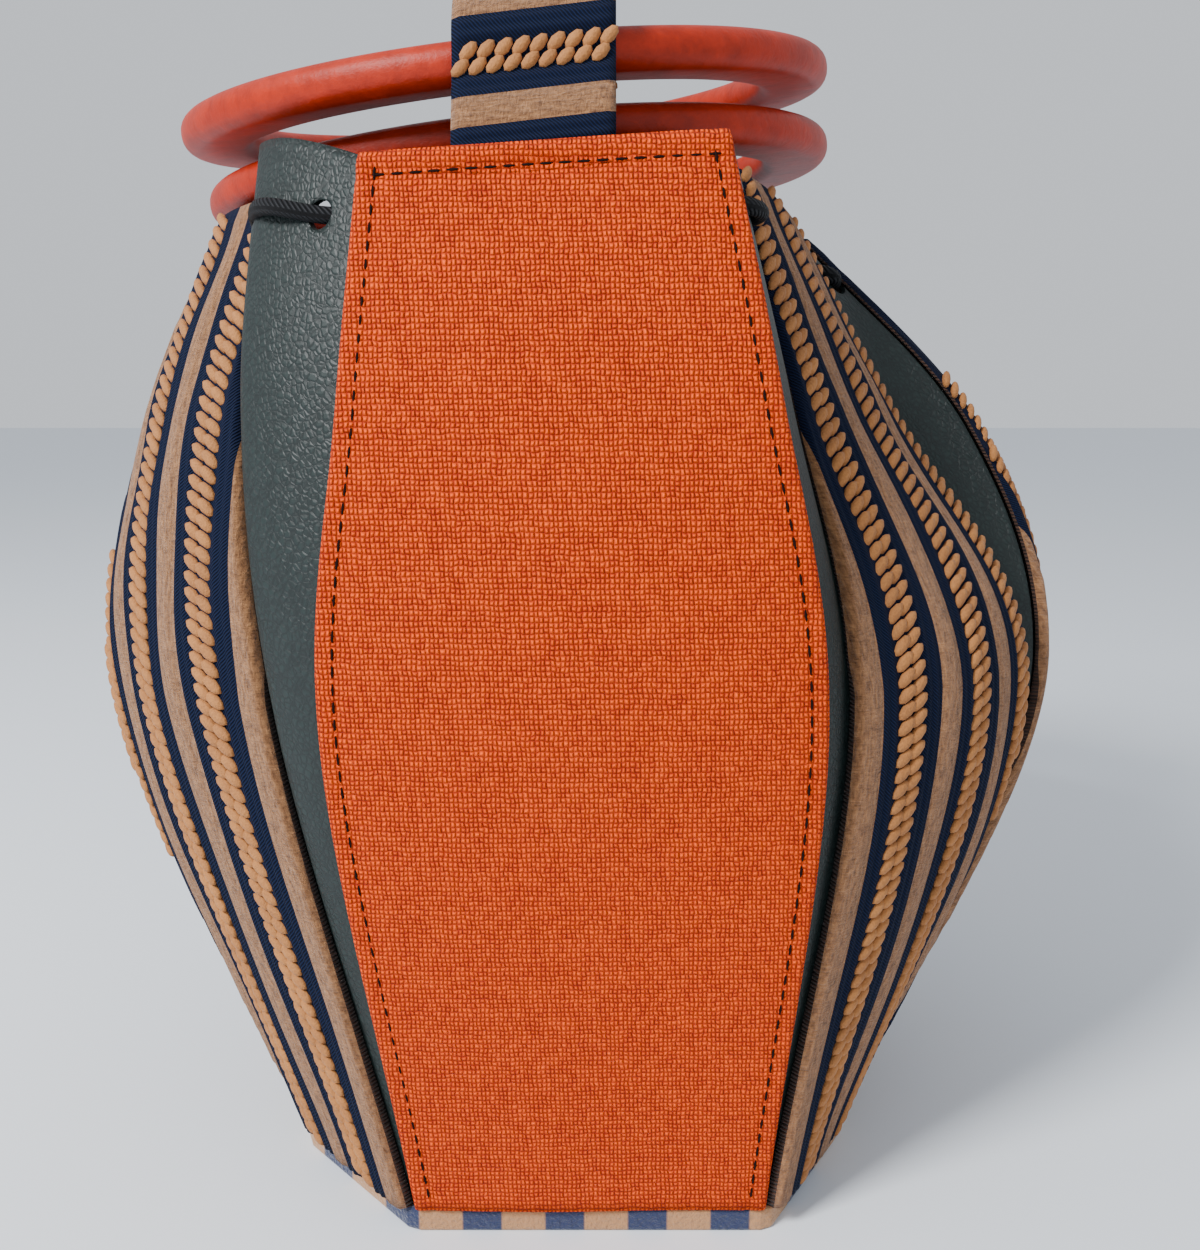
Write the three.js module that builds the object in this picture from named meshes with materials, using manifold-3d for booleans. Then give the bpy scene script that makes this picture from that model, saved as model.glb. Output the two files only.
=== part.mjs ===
// A barrel-shaped drawstring handbag: eight upright cloth panels on an eight-sided base, joined
// by eight leather gussets that are narrow at the foot and wide at the mouth, a cord threaded
// through slots in the gussets, and two flat wooden rings held by cloth tabs as handles.
// Millimetres, +Z up, front towards -Y, origin on the base's underside.

import * as THREE from 'three';
import { mergeVertices } from 'three/addons/utils/BufferGeometryUtils.js';
import Module from 'manifold-3d';

const wasm = await Module();
wasm.setup();

// Driving sizes of the bag's body.
const rimHeight = 216;           // floor to the highest corner of the front panel
const halfWidth = 105;           // at the belly
const halfDepth = 86;

// Cloth, leather and base.
const clothThick = 2.0;
const leatherThick = 1.4;
const baseThick = 5.0;
const baseInset = 0.8;           // the base's edge, inside the panels' outer faces
const lap = 6;                   // how far a gusset runs under a panel's edge
const seamGap = 0.3;             // clearance between two sewn pieces
const seamRoom = 0.9;            // leather that shows beside a panel's edge, even at the foot

// Cord and its slots.
const cordDiameter = 3.2;
const cordDrop = 12;             // cord's centre below the rim
const slotWidth = 5;
const slotHeight = 5;
const slotPlace = 0.2;           // share of a gusset's width, from either side

// Ring handles. backUp and leftDown are tilts in degrees.
const lowerAboveRim = 5;         // the lower ring's centre, above the rim
const upperAboveLower = 15;
const ringOuterDiameter = 150;
const ringBarWidth = 16;         // radial
const ringBarThick = 8;
const ringEdgeRadius = 3.4;
const lowerRing = { x: -16.5, y: 18, z: rimHeight + lowerAboveRim, backUp: 1.5, leftDown: 6 };
const upperRing = { x: -19, y: 7, z: lowerRing.z + upperAboveLower, backUp: 5, leftDown: 6.2 };

// Tabs.
const tabWidth = 29.5;
const tabThick = 1.8;
const tabSlack = 7;              // loose cloth above a ring's bar
const tabStemDepth = 8;          // sewn end, below the rim
const frontTabX = -9.5;
const backTabX = -14;

// Heights of the four sections as shares of an edge's own height: foot, belly, shoulder, mouth.
const SECTIONS = [0, 0.52, 0.78, 1];

// Gussets, walking round the bag anticlockwise from above. before is the edge of the panel that
// ends there and after the edge of the panel that starts, as [x, y] shares of the half width and
// half depth at the four sections. rim is each edge's height as a share of the rim height, fold
// how far the leather stands out of the straight line in mm, at its place across the gusset, and
// lift how far the fold's top rises above the rim in mm.
const GUSSETS = [
  { name: 'front_left', rim: [0.968, 0.981], fold: [0, 2.5, 5, 7], at: 0.24, lift: 7.5,
    before: [[-0.35, -0.9], [-0.572, -0.89], [-0.63, -0.74], [-0.6, -0.53]],
    after: [[-0.333, -0.907], [-0.476, -1.012], [-0.429, -0.988], [-0.39, -0.884]] },
  { name: 'front_right', rim: [1, 0.99], fold: [0, 0.5, 1, 1], at: 0.5, lift: 0,
    before: [[0.352, -0.907], [0.438, -1.012], [0.347, -0.988], [0.257, -0.884]],
    after: [[0.369, -0.9], [0.48, -0.907], [0.39, -0.744], [0.286, -0.581]] },
  { name: 'right_front', rim: [0.977, 0.954], fold: [0, -3, -4, 1], at: 0.5, lift: 0,
    before: [[0.552, -0.535], [0.924, -0.46], [0.66, -0.244], [0.438, -0.093]],
    after: [[0.571, -0.5], [0.99, -0.36], [0.867, -0.174], [0.5, -0.01]] },
  { name: 'right_back', rim: [0.954, 0.954], fold: [0, -2, -3, 1], at: 0.5, lift: 0,
    before: [[0.571, 0.14], [0.99, 0.49], [0.857, 0.41], [0.49, 0.43]],
    after: [[0.56, 0.18], [0.957, 0.57], [0.8, 0.52], [0.45, 0.58]] },
  { name: 'back_right', rim: [0.958, 0.958], fold: [0, -1, -2, 2], at: 0.5, lift: 0,
    before: [[0.369, 0.48], [0.533, 0.9], [0.46, 0.87], [0.29, 0.75]],
    after: [[0.352, 0.49], [0.438, 0.977], [0.38, 0.942], [0.21, 0.837]] },
  { name: 'back_left', rim: [0.958, 0.958], fold: [0, -1, -2, 2], at: 0.5, lift: 0,
    before: [[-0.362, 0.49], [-0.495, 0.977], [-0.47, 0.942], [-0.46, 0.837]],
    after: [[-0.379, 0.48], [-0.58, 0.9], [-0.57, 0.87], [-0.56, 0.75]] },
  { name: 'left_back', rim: [0.956, 0.956], fold: [0, -2, -3, 1], at: 0.5, lift: 0,
    before: [[-0.61, 0.18], [-0.98, 0.57], [-0.9, 0.52], [-0.72, 0.6]],
    after: [[-0.621, 0.14], [-1.02, 0.49], [-0.93, 0.41], [-0.757, 0.45]] },
  { name: 'left_front', rim: [0.958, 0.96], fold: [0, -1, -2, 1], at: 0.5, lift: 0,
    before: [[-0.621, -0.52], [-1.03, -0.35], [-0.933, -0.22], [-0.762, -0.1]],
    after: [[-0.61, -0.555], [-1.0, -0.45], [-0.914, -0.38], [-0.757, -0.29]] },
];

// Panel k runs from gusset k to gusset k + 1. bulge is its outward bow in mm at the four sections.
const PANELS = [
  { name: 'front', cloth: 'orange', bulge: [0, 3, 2, 1] },
  { name: 'front_right', cloth: 'striped', bulge: [1, 5, 3, 1] },
  { name: 'right', cloth: 'striped', bulge: [1, 5, 4, 1] },
  { name: 'back_right', cloth: 'striped', bulge: [1, 5, 4, 1] },
  { name: 'back', cloth: 'orange', bulge: [0, 3, 2, 1] },
  { name: 'back_left', cloth: 'striped', bulge: [1, 5, 4, 1] },
  { name: 'left', cloth: 'striped', bulge: [1, 5, 4, 1] },
  { name: 'front_left', cloth: 'striped', bulge: [1, 5, 4, 1] },
];

// Mesh fineness.
const rowsUp = 14;
const panelColumns = 5;
const gussetColumns = 6;
const cordSides = 8;
const cordSteps = 90;
const ringSteps = 44;
const shortEdge = 0.03;

const footZ = baseThick + seamGap;
const degrees = THREE.MathUtils.degToRad;
const lerp = THREE.MathUtils.lerp;
const wrap = (k) => (k + GUSSETS.length) % GUSSETS.length;
const outwards = (d) => new THREE.Vector2(d.y, -d.x).normalize();
const plan = (p) => new THREE.Vector2(p.x, p.y);

// A panel edge as a curve through its four sections.
function edgeCurve(shares, rimShare) {
  const top = rimHeight * rimShare;
  return new THREE.CatmullRomCurve3(shares.map(([x, y], i) => (
    new THREE.Vector3(x * halfWidth, y * halfDepth, lerp(footZ, top, SECTIONS[i]))
  )));
}

const EDGES = GUSSETS.map(({ before, after, rim }) => ({
  before: edgeCurve(before, rim[0]),
  after: edgeCurve(after, rim[1]),
}));

// A value given at the four sections, at height v from 0 to 1.
function sectioned(values, v) {
  return new THREE.SplineCurve(values.map((value, i) => new THREE.Vector2(i, value))).getPoint(v).y;
}

function panelEnds(k, v) {
  const start = EDGES[wrap(k)].after.getPoint(v);
  const end = EDGES[wrap(k + 1)].before.getPoint(v);
  const along = end.clone().sub(start).setZ(0).setLength(seamRoom);
  return [start.add(along), end.sub(along)];
}

// A point of panel k's outer face, s across and v up, with its outward direction in plan.
function panelPoint(k, s, v) {
  const [start, end] = panelEnds(k, v);
  const chord = plan(end).sub(plan(start));
  const out = outwards(chord);
  const bow = 4 * sectioned(PANELS[wrap(k)].bulge, v);
  const place = plan(start).addScaledVector(chord, s).addScaledVector(out, bow * s * (1 - s));
  const along = chord.clone().addScaledVector(out, bow * (1 - 2 * s));
  return { place, out: outwards(along), z: lerp(start.z, end.z, s) };
}

function lapShare(k, v) {
  const [start, end] = panelEnds(k, v);
  return lap / plan(start).distanceTo(plan(end));
}

// A point behind panel k's outer face by the given depth.
function behindPanel(k, s, v, depth) {
  const { place, out, z } = panelPoint(k, s, v);
  place.addScaledVector(out, -depth);
  return new THREE.Vector3(place.x, place.y, z);
}

// A point of gusset k's leather, t across from panel k - 1 to panel k, at a depth below its face.
function gussetPoint(k, t, v, depth = 0) {
  const { at, fold, lift } = GUSSETS[wrap(k)];
  const from = behindPanel(k - 1, 1, v, clothThick + seamGap + depth);
  const to = behindPanel(k, 0, v, clothThick + seamGap + depth);
  const across = plan(to).sub(plan(from));
  const margin = Math.min(2 * seamGap, 0.1 * across.length());
  const rise = t < at ? Math.sin((Math.PI * t) / (2 * at)) : Math.cos((Math.PI * (t - at)) / (2 * (1 - at)));
  const open = lerp(margin, across.length() - margin, t);
  const place = plan(from).addScaledVector(across.normalize(), open);
  place.addScaledVector(outwards(across), sectioned(fold, v) * rise);
  return new THREE.Vector3(place.x, place.y, lerp(from.z, to.z, t) + lift * rise * v ** 2);
}

// Outline of gusset k at v: the strip under panel k - 1, the open part, the strip under panel k.
function gussetLine(k, v, depth) {
  const under = clothThick + seamGap + depth;
  const line = [behindPanel(k - 1, 1 - lapShare(k - 1, v), v, under)];
  for (let i = 0; i <= gussetColumns; i++) line.push(gussetPoint(k, i / gussetColumns, v, depth));
  line.push(behindPanel(k, lapShare(k, v), v, under));
  return line;
}

// The leather's inner outline: square to the outer one where the gusset is wide, and straight
// across from edge to edge where it is too narrow for that.
function gussetInside(k, v) {
  const outer = gussetLine(k, v, 0);
  const straight = gussetLine(k, v, leatherThick);
  const open = plan(outer[outer.length - 2]).distanceTo(plan(outer[1]));
  const share = THREE.MathUtils.clamp(open / (10 * leatherThick) - 0.3, 0, 1);
  return outer.map((p, i) => {
    const before = outer[Math.max(i - 1, 0)];
    const after = outer[Math.min(i + 1, outer.length - 1)];
    const out = outwards(plan(after).sub(plan(before)));
    const square = new THREE.Vector3(p.x - out.x * leatherThick, p.y - out.y * leatherThick, p.z);
    return straight[i].lerp(square, share);
  });
}

function geometryOf(positions, index) {
  const geometry = new THREE.BufferGeometry();
  geometry.setAttribute('position', new THREE.Float32BufferAttribute(positions, 3));
  geometry.setIndex(index);
  return geometry;
}

// A closed wall from matching outer and inner grids of points, rows upwards.
function wallGeometry(outer, inner) {
  const rows = outer.length;
  const columns = outer[0].length;
  const positions = [...outer.flat(), ...inner.flat()].flatMap((p) => p.toArray());
  const index = [];
  const a = (r, c) => r * columns + c;
  const b = (r, c) => (rows + r) * columns + c;
  const quad = (p, q, r, s) => index.push(p, q, r, p, r, s);
  for (let r = 0; r < rows - 1; r++) {
    for (let c = 0; c < columns - 1; c++) {
      quad(a(r, c), a(r, c + 1), a(r + 1, c + 1), a(r + 1, c));
      quad(b(r, c), b(r + 1, c), b(r + 1, c + 1), b(r, c + 1));
    }
    quad(a(r, 0), a(r + 1, 0), b(r + 1, 0), b(r, 0));
    quad(a(r, columns - 1), b(r, columns - 1), b(r + 1, columns - 1), a(r + 1, columns - 1));
  }
  for (let c = 0; c < columns - 1; c++) {
    quad(a(0, c), b(0, c), b(0, c + 1), a(0, c + 1));
    quad(a(rows - 1, c), a(rows - 1, c + 1), b(rows - 1, c + 1), b(rows - 1, c));
  }
  return geometryOf(positions, index);
}

const heights = Array.from({ length: rowsUp + 1 }, (_, r) => r / rowsUp);

// Panel k, grown on all its sides but its top and foot where a clearance is given.
function panelGeometry(k, clearance = 0) {
  const grid = (depth) => heights.map((v) => {
    const edge = lapShare(k, v);
    const beyond = (edge * clearance) / lap;
    const shares = [-beyond];
    for (let i = 0; i <= panelColumns; i++) shares.push(lerp(edge, 1 - edge, i / panelColumns));
    shares.push(1 + beyond);
    return shares.map((s) => behindPanel(k, s, v, depth));
  });
  return wallGeometry(grid(-clearance), grid(clothThick + clearance));
}

function toManifold(geometry) {
  const bare = geometry.clone();
  bare.deleteAttribute('normal');
  bare.deleteAttribute('uv');
  const merged = mergeVertices(bare, 1e-4);
  return new wasm.Manifold(new wasm.Mesh({
    numProp: 3,
    vertProperties: new Float32Array(merged.attributes.position.array),
    triVerts: new Uint32Array(merged.index.array),
  }));
}

function fromManifold(solid) {
  const mesh = solid.getMesh();
  return geometryOf(Array.from(mesh.vertProperties), Array.from(mesh.triVerts));
}

// The height v at which the cord passes gusset k.
function cordShare(k) {
  const top = EDGES[wrap(k)].before.getPoint(1).z;
  const span = (top - footZ) * (SECTIONS[3] - SECTIONS[2]);
  return 1 - cordDrop / span / (SECTIONS.length - 1);
}

// The slots of gusset k, one near each panel, with the way out through the leather.
function gussetSlots(k) {
  const v = cordShare(k);
  return [slotPlace, 1 - slotPlace].map((t) => {
    const next = gussetPoint(k, t + 0.5 * slotPlace, v);
    const last = gussetPoint(k, t - 0.5 * slotPlace, v);
    const out = outwards(plan(next).sub(plan(last)));
    const centre = gussetPoint(k, t, v);
    centre.x -= out.x * leatherThick / 2;
    centre.y -= out.y * leatherThick / 2;
    return { centre, out };
  });
}

// What is left of a solid once the cutters are taken away, without the slivers that they leave.
function trimmed(solid, cutters) {
  const rest = cutters.reduce((left, cutter) => left.subtract(cutter), solid);
  const [largest] = rest.decompose().sort((a, b) => b.volume() - a.volume());
  return fromManifold(largest.simplify(shortEdge));
}

// The cord with its clearance, which cuts its way through the seams.
function cordWay() {
  return toManifold(closedTube(cordLine(), cordDiameter / 2 + seamGap, cordSides, cordSteps));
}

function gussetGeometry(k) {
  const outer = heights.map((v) => gussetLine(k, v, 0));
  const inner = heights.map((v) => gussetInside(k, v));
  const slots = gussetSlots(k).map(({ centre, out }) => {
    const cutter = new THREE.BoxGeometry(slotWidth, leatherThick * 4, slotHeight);
    cutter.rotateZ(out.angle() + Math.PI / 2);
    return toManifold(cutter.translate(centre.x, centre.y, centre.z));
  });
  const panels = [k - 1, k].map((side) => toManifold(panelGeometry(side, seamGap / 2)));
  return trimmed(toManifold(wallGeometry(outer, inner)), [...slots, ...panels, cordWay()]);
}

// The cord's line: behind each panel, out of one slot, over the gusset, and in at the next.
function cordLine() {
  const clear = cordDiameter / 2 + seamGap;
  const points = [];
  for (let k = 0; k < GUSSETS.length; k++) {
    const v = cordShare(k);
    const [first, second] = gussetSlots(k);
    const way = outwards(plan(second.centre).sub(plan(first.centre)));
    const middle = gussetPoint(k, 0.5, v);
    const crest = gussetPoint(k, GUSSETS[k].at, v);
    const reach = Math.max(0, plan(crest).sub(plan(middle)).dot(way)) + clear + seamGap;
    middle.x += way.x * reach;
    middle.y += way.y * reach;
    points.push(first.centre, middle, second.centre);
    for (const s of [0.22, 0.5, 0.78]) {
      points.push(behindPanel(k, s, lerp(v, cordShare(k + 1), s), clothThick + leatherThick + 2 * clear));
    }
  }
  return new THREE.CatmullRomCurve3(points, true, 'centripetal');
}

// A closed round tube along a closed, nearly level curve.
function closedTube(curve, radius, sides, steps) {
  const positions = [];
  const index = [];
  for (let i = 0; i < steps; i++) {
    const centre = curve.getPointAt(i / steps);
    const along = curve.getTangentAt(i / steps);
    const side = new THREE.Vector3().crossVectors(along, new THREE.Vector3(0, 0, 1)).normalize();
    const up = new THREE.Vector3().crossVectors(side, along).normalize();
    for (let j = 0; j < sides; j++) {
      const angle = (2 * Math.PI * j) / sides;
      const p = centre.clone().addScaledVector(side, radius * Math.cos(angle));
      positions.push(...p.addScaledVector(up, radius * Math.sin(angle)).toArray());
      const next = (j + 1) % sides;
      const [a, b] = [i * sides + j, i * sides + next];
      const [c, d] = [((i + 1) % steps) * sides + j, ((i + 1) % steps) * sides + next];
      index.push(a, c, d, a, d, b);
    }
  }
  return geometryOf(positions, index);
}

// A flat eight-sided plate under the panels' feet.
function baseGeometry() {
  const outline = GUSSETS.flatMap((_, k) => [
    behindPanel(k - 1, 1, 0, baseInset),
    behindPanel(k, 0, 0, baseInset),
  ]).map(plan);
  return new THREE.ExtrudeGeometry(new THREE.Shape(outline), { depth: baseThick, bevelEnabled: false });
}

// A flat ring with rounded edges, its axis along +Z before it is tilted.
function ringGeometry() {
  const outer = ringOuterDiameter / 2 - ringEdgeRadius;
  const inner = ringOuterDiameter / 2 - ringBarWidth + ringEdgeRadius;
  const half = ringBarThick / 2 - ringEdgeRadius;
  const corners = [[outer, -half, -90], [outer, half, 0], [inner, half, 90], [inner, -half, 180]];
  const profile = corners.flatMap(([x, y, start]) => [0, 30, 60, 90].map((turn) => {
    const angle = degrees(start + turn);
    return new THREE.Vector2(x + ringEdgeRadius * Math.cos(angle), y + ringEdgeRadius * Math.sin(angle));
  }));
  return new THREE.LatheGeometry([...profile, profile[0].clone()], ringSteps).rotateX(Math.PI / 2);
}

// Centre of a ring's bar at its front (-1) or back (1), at the given x.
function barCentre({ x, y, z, backUp, leftDown }, side, atX) {
  const radius = (ringOuterDiameter - ringBarWidth) / 2;
  const along = side * Math.sqrt(radius ** 2 - (atX - x) ** 2);
  const rise = along * Math.tan(degrees(backUp)) + (atX - x) * Math.tan(degrees(leftDown));
  return new THREE.Vector3(atX, y + along, z + rise);
}

// A tab: a loose loop of cloth round a ring's bar and a two-ply stem behind the panel's hem. It is
// made about the bar's centre, with the loop's outline in y and z, then rolled as the ring is.
function tabGeometry(ring, side, atX, stemY, stemFootZ) {
  const bar = barCentre(ring, side, atX);
  const outer = ringOuterDiameter / 2;
  const reach = Math.abs(atX - ring.x) + tabWidth / 2;
  const inner = Math.sqrt((outer - ringBarWidth) ** 2 - reach ** 2);
  const shift = side * ((outer + inner) / 2) - (bar.y - ring.y);
  const halfWide = (outer - inner) / 2 + 2 * seamGap;
  const halfHigh = ringBarThick / 2 + 2 * seamGap;
  const loop = (grow) => Array.from({ length: 24 }, (_, i) => {
    const [c, s] = [Math.cos((Math.PI * i) / 12), Math.sin((Math.PI * i) / 12)];
    const high = halfHigh + grow + (s > 0 ? tabSlack : 0);
    return new THREE.Vector2(
      Math.sign(c) * Math.abs(c) ** 0.55 * (halfWide + grow) + shift,
      Math.sign(s) * Math.abs(s) ** 0.55 * high,
    ).rotateAround(new THREE.Vector2(0, 0), degrees(ring.backUp));
  });
  const shape = new THREE.Shape(loop(tabThick));
  shape.holes.push(new THREE.Path(loop(0)));
  const band = new THREE.ExtrudeGeometry(shape, { depth: tabWidth, bevelEnabled: false });
  // Shape x, shape y and depth become the bag's y, z and x.
  band.applyMatrix4(new THREE.Matrix4().set(0, 0, 1, -tabWidth / 2, 1, 0, 0, 0, 0, 1, 0, 0, 0, 0, 0, 1));

  const plies = 2 * tabThick;
  const stemCentre = stemY - bar.y - (side * plies) / 2;
  const shelfTop = -halfHigh - 0.2 * tabThick;
  const stem = new THREE.BoxGeometry(tabWidth, plies, bar.z + shelfTop - stemFootZ);
  stem.translate(0, stemCentre, (shelfTop + stemFootZ - bar.z) / 2);
  const shelfDepth = Math.abs(stemCentre) + plies / 2;
  const shelf = new THREE.BoxGeometry(tabWidth, shelfDepth, tabThick * 0.9);
  shelf.translate(0, (Math.sign(stemCentre) * shelfDepth) / 2, shelfTop - tabThick * 0.45);
  const solid = toManifold(band).add(toManifold(stem)).add(toManifold(shelf));
  return fromManifold(solid).rotateY(-degrees(ring.leftDown)).translate(bar.x, bar.y, bar.z);
}

const cloths = {
  orange: new THREE.MeshStandardMaterial({ color: 0xe8420a, roughness: 0.85, metalness: 0 }),
  striped: new THREE.MeshStandardMaterial({ color: 0x7d6450, roughness: 0.9, metalness: 0 }),
};
const leather = new THREE.MeshStandardMaterial({ color: 0x2a3836, roughness: 0.5, metalness: 0 });
const paintedWood = new THREE.MeshStandardMaterial({ color: 0xc23410, roughness: 0.4, metalness: 0 });
const cordBlack = new THREE.MeshStandardMaterial({ color: 0x0b0b0c, roughness: 0.7, metalness: 0 });

const bag = new THREE.Group();

function add(name, geometry, material) {
  const mesh = new THREE.Mesh(geometry, material);
  mesh.name = name;
  bag.add(mesh);
  return mesh;
}

PANELS.forEach(({ name, cloth }, k) => {
  add(`panel_${name}`, trimmed(toManifold(panelGeometry(k)), [cordWay()]), cloths[cloth]);
});
GUSSETS.forEach(({ name }, k) => add(`gusset_${name}`, gussetGeometry(k), leather));
add('base', baseGeometry(), cloths.striped);
add('drawstring', closedTube(cordLine(), cordDiameter / 2, cordSides, cordSteps), cordBlack);

for (const [name, ring] of [['ring_upper', upperRing], ['ring_lower', lowerRing]]) {
  const mesh = add(name, ringGeometry(), paintedWood);
  mesh.position.set(ring.x, ring.y, ring.z);
  mesh.rotation.set(degrees(ring.backUp), -degrees(ring.leftDown), 0, 'YXZ');
}

// Each tab's stem lies against the inner face of its panel, at the tab's own x.
for (const [name, ring, side, atX, panel] of [
  ['tab_front', upperRing, -1, frontTabX, 0],
  ['tab_back', lowerRing, 1, backTabX, 4],
]) {
  const [start, end] = panelEnds(panel, 1);
  const hem = behindPanel(panel, (atX - start.x) / (end.x - start.x), 1, clothThick);
  add(name, tabGeometry(ring, side, atX, hem.y - side * 3 * seamGap, hem.z - tabStemDepth), cloths.striped);
}

export default bag;
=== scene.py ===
# %% [markdown]
# A drawstring handbag of woven cloth and leather.
# The bag has eight upright cloth panels: two are plain orange basket weave, and six are a
# striped upholstery cloth of chenille, navy cord and braid. Pebbled leather gussets join them.
# A black cord runs round the mouth, and two painted wooden rings hang on striped cloth tabs.
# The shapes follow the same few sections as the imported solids, so each piece stays where its
# solid is. What repeats, such as stitches and the braid's lobes, is made by Geometry Nodes.

# %% Load the frame
import math

import bmesh
import bpy
import numpy as np
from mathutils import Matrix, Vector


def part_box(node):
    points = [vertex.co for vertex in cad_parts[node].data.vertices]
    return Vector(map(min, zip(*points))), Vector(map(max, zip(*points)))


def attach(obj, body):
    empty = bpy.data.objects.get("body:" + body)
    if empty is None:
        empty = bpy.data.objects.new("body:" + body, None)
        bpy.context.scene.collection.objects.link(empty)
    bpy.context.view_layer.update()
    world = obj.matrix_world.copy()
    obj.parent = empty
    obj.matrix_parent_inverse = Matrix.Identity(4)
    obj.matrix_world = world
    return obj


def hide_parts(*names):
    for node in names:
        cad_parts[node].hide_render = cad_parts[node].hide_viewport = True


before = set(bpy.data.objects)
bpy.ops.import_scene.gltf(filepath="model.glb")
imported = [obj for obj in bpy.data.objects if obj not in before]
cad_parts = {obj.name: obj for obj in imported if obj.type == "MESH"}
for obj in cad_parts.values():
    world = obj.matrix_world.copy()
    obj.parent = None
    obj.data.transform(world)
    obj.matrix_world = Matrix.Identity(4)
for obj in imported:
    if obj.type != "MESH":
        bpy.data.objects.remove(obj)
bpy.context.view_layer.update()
MM = 0.001
print("solid nodes:", len(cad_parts))

# %% [markdown]
# The camera stands close to the bag, a little above its middle, and looks slightly down. That
# close view is what makes the panel's foot look narrow and the handles look wide. The picture is
# nearly square, and a lens as long as its sensor is wide gives the photograph's angle.

# %% Camera, floor and light
CAMERA_PLACE = (3, -308, 170)
CAMERA_PITCH = 10.5
LENS = 36.0


def srgb(code):
    """A hex colour as linear red, green, blue and alpha."""
    values = [int(code[i:i + 2], 16) / 255 for i in (1, 3, 5)]
    return [v / 12.92 if v <= 0.04045 else ((v + 0.055) / 1.055) ** 2.4 for v in values] + [1.0]


def add_node(tree, kind, inputs=None, **settings):
    """Adds a node with its settings. Each input is a value, or a socket to link from."""
    made = tree.nodes.new(kind)
    for name, value in settings.items():
        setattr(made, name, value)
    for name, value in (inputs or {}).items():
        if isinstance(value, bpy.types.NodeSocket):
            tree.links.new(value, made.inputs[name])
        else:
            made.inputs[name].default_value = value
    return made


def new_material(name, **values):
    """A material with one Principled shader, whose sockets are set from the values."""
    material = bpy.data.materials.new(name)
    material.use_nodes = True
    shader = material.node_tree.nodes["Principled BSDF"]
    for socket, value in values.items():
        shader.inputs[socket.replace("_", " ")].default_value = value
    return material, material.node_tree, shader


camera = bpy.data.objects.new("camera", bpy.data.cameras.new("camera"))
camera.data.lens = LENS
camera.data.sensor_width = LENS
camera.location = [value * MM for value in CAMERA_PLACE]
camera.rotation_euler = (math.radians(90 - CAMERA_PITCH), 0, 0)
camera.data.clip_start = 0.01
bpy.context.collection.objects.link(camera)
bpy.context.scene.camera = camera

FLOOR_HALF = 6.0  # metres
floor_corners = [(x * FLOOR_HALF, y * FLOOR_HALF, 0) for x, y in ((-1, -1), (1, -1), (1, 1), (-1, 1))]
floor_mesh = bpy.data.meshes.new("floor")
floor_mesh.from_pydata(floor_corners, [], [(0, 1, 2, 3)])
floor = bpy.data.objects.new("floor", floor_mesh)
bpy.context.collection.objects.link(floor)
floor_paint, _, _ = new_material("pale_matt_floor", Base_Color=srgb("#E4E9EF"), Roughness=0.7)
floor_mesh.materials.append(floor_paint)

WORLD_STRENGTH = 0.9
world = bpy.data.worlds.new("studio")
world.use_nodes = True
world.node_tree.nodes["Background"].inputs["Color"].default_value = srgb("#E9EEF5")
world.node_tree.nodes["Background"].inputs["Strength"].default_value = WORLD_STRENGTH
bpy.context.scene.world = world

LIGHTS = [
    # name, place in metres, aim in metres, size, watts
    ("key", (-0.75, -0.75, 0.95), (0.0, 0.0, 0.12), 0.35, 30.0),
    ("fill", (0.9, -0.9, 0.6), (0.0, 0.0, 0.1), 1.2, 1.0),
]
for name, place, aim, size, power in LIGHTS:
    lamp = bpy.data.lights.new(name, "AREA")
    lamp.size = size
    lamp.energy = power
    holder = bpy.data.objects.new(name, lamp)
    holder.location = place
    way = np.array(aim) - np.array(place)
    holder.rotation_euler = (math.atan2(math.hypot(way[0], way[1]), -way[2]), 0,
                             math.atan2(way[1], way[0]) - math.pi / 2)
    bpy.context.collection.objects.link(holder)
print("camera and", len(LIGHTS), "lights")

# %% [markdown]
# The body is drawn by the edges of its panels. Each edge is a smooth curve through four places:
# at the foot, the belly, the shoulder and the mouth. They are given as shares of the half width
# and half depth, walking round the bag from the front panel's left edge. Every cloth panel and
# leather gusset is then a grid stretched between two neighbouring edges.

# %% The body's sections
RIM_HEIGHT = 216
HALF_WIDTH = 105
HALF_DEPTH = 86
CLOTH_THICK = 2.0
LEATHER_THICK = 1.4
SEAM_GAP = 0.3
LAP = 6.0
CORD_DIAMETER = 3.2
CORD_DROP = 12
SLOT_PLACE = 0.2
foot_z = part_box("panel_front")[0][2] / MM
SECTIONS = (0, 0.52, 0.78, 1)

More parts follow.
